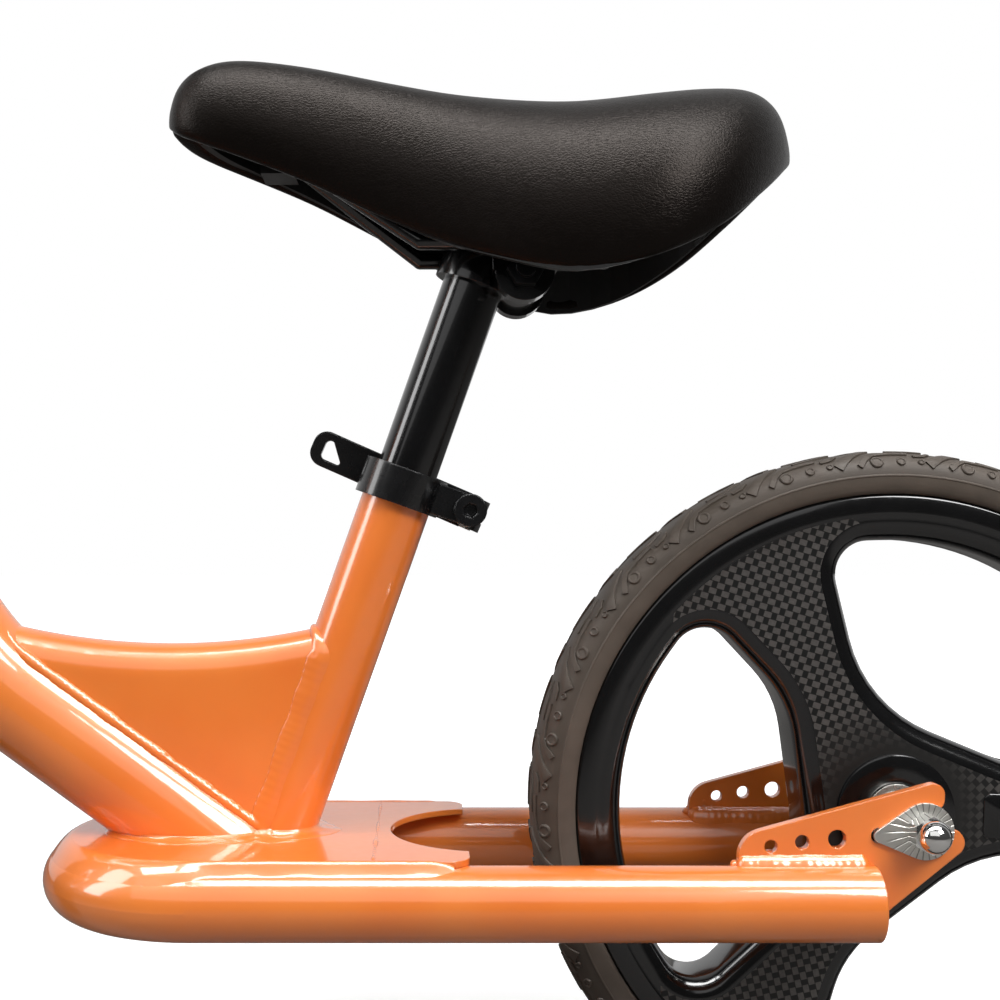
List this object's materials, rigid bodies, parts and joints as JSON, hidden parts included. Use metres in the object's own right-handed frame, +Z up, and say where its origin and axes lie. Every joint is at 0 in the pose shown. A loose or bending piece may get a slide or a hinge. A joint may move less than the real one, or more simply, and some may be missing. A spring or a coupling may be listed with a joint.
{
  "type": "balance bike",
  "caption": "Child's balance bike with a welded tube frame, footrest loop, moulded three-spoke wheels, padded saddle and quick-release clamps.",
  "frame": {"origin": "on the floor, midway between the two wheels' contact points, in the bike's plane of symmetry", "axes": "+X towards the rear wheel, +Y towards the bike's right side, +Z up"},
  "size_m": [0.866, 0.418, 0.6234],
  "materials": {
    "frame_paint": "gloss",
    "black_paint": "gloss",
    "bright_steel": "satin",
    "chrome": "polished",
    "black_alloy": "satin",
    "tyre": "matte",
    "wheel_plastic": "gloss",
    "saddle_cover": "grained",
    "saddle_base": "matte",
    "grip_rubber": "matte"
  },
  "bodies": {
    "frame": {"head_tube": "frame_paint", "main_tube": "frame_paint", "gusset_box": "frame_paint", "seat_tube": "frame_paint", "footrest_tube": "frame_paint", "footrest_plate_front": "frame_paint", "footrest_plate_rear": "frame_paint", "dropout_left": "frame_paint", "dropout_right": "frame_paint", "footrest_end_caps": "frame_paint", "headset_cup_upper": "chrome", "headset_cup_lower": "chrome", "rear_axle": "bright_steel", "rear_axle_nuts": "chrome", "rear_tab_washers": "bright_steel", "rear_axle_spacers": "bright_steel", "rear_bearing_inner_rings": "bright_steel", "seat_clamp_collar": "black_alloy", "seat_clamp_skewer": "bright_steel", "seat_clamp_cam_pin": "bright_steel"},
    "seat_clamp_nut": {"seat_clamp_nut": "black_alloy"},
    "seat_clamp_lever": {"seat_clamp_lever": "black_alloy"},
    "seat_post": {"seat_post": "black_paint", "saddle_clamp_ring": "black_paint", "saddle_clamp_bolt": "bright_steel"},
    "saddle": {"saddle_clamp_plates": "black_paint", "saddle_rails": "bright_steel", "saddle_shell": "saddle_base", "saddle_cover": "saddle_cover"},
    "fork": {"steerer_tube": "frame_paint", "fork_blade_left": "frame_paint", "fork_blade_right": "frame_paint", "fork_dropout_left": "frame_paint", "fork_dropout_right": "frame_paint", "front_axle": "bright_steel", "front_axle_nuts": "chrome", "front_tab_washers": "bright_steel", "front_axle_spacers": "bright_steel", "front_bearing_inner_rings": "bright_steel", "headset_crown_race": "bright_steel", "headset_top_race": "chrome", "headset_locknut": "chrome", "headset_balls": "bright_steel", "bar_clamp_collar": "black_alloy", "bar_clamp_skewer": "bright_steel", "bar_clamp_cam_pin": "bright_steel"},
    "bar_clamp_nut": {"bar_clamp_nut": "black_alloy"},
    "bar_clamp_lever": {"bar_clamp_lever": "black_alloy"},
    "handlebar": {"stem_tube": "frame_paint", "handlebar_tube": "black_paint", "grip_left": "grip_rubber", "grip_right": "grip_rubber"},
    "front_wheel": {"front_tyre": "tyre", "front_rim": "wheel_plastic", "front_bearing_outer_rings": "bright_steel", "front_bearing_balls": "bright_steel"},
    "rear_wheel": {"rear_tyre": "tyre", "rear_rim": "wheel_plastic", "rear_bearing_outer_rings": "bright_steel", "rear_bearing_balls": "bright_steel"}
  },
  "joints": [
    {"name": "steering", "type": "hinge", "parent": "frame", "child": "fork", "pos_m": [-0.25681, 0, 0.13774], "axis": [0.342, 0, 0.9397], "range_deg": [-90, 90]},
    {"name": "front_wheel_spin", "type": "hinge", "parent": "fork", "child": "front_wheel", "pos_m": [-0.285, 0, 0.148], "axis": [0, 1, 0], "continuous": true},
    {"name": "rear_wheel_spin", "type": "hinge", "parent": "frame", "child": "rear_wheel", "pos_m": [0.285, 0, 0.148], "axis": [0, 1, 0], "continuous": true},
    {"name": "seat_height", "type": "slide", "parent": "frame", "child": "seat_post", "axis": [0.3355, 0, 0.9421], "range_m": [-0.055, 0.035]},
    {"name": "saddle_tilt", "type": "hinge", "parent": "seat_post", "child": "saddle", "pos_m": [0.13349, 0, 0.36755], "axis": [0, 1, 0], "range_deg": [-8, 8]},
    {"name": "seat_clamp_lever_swing", "type": "hinge", "parent": "frame", "child": "seat_clamp_lever", "pos_m": [0.11187, 0.0224, 0.27121], "axis": [-0.4004, 0, -0.9164], "range_deg": [0, 160]},
    {"name": "seat_clamp_nut_turn", "type": "hinge", "parent": "frame", "child": "seat_clamp_nut", "pos_m": [0.11187, 0, 0.27121], "axis": [0, 1, 0], "continuous": true},
    {"name": "handlebar_height", "type": "slide", "parent": "fork", "child": "handlebar", "axis": [0.342, 0, 0.9397], "range_m": [-0.025, 0.045]},
    {"name": "bar_clamp_lever_swing", "type": "hinge", "parent": "fork", "child": "bar_clamp_lever", "pos_m": [-0.11901, 0.0224, 0.4301], "axis": [-0.4067, 0, -0.9135], "range_deg": [0, 160]},
    {"name": "bar_clamp_nut_turn", "type": "hinge", "parent": "fork", "child": "bar_clamp_nut", "pos_m": [-0.11901, 0, 0.4301], "axis": [0, 1, 0], "continuous": true}
  ]
}
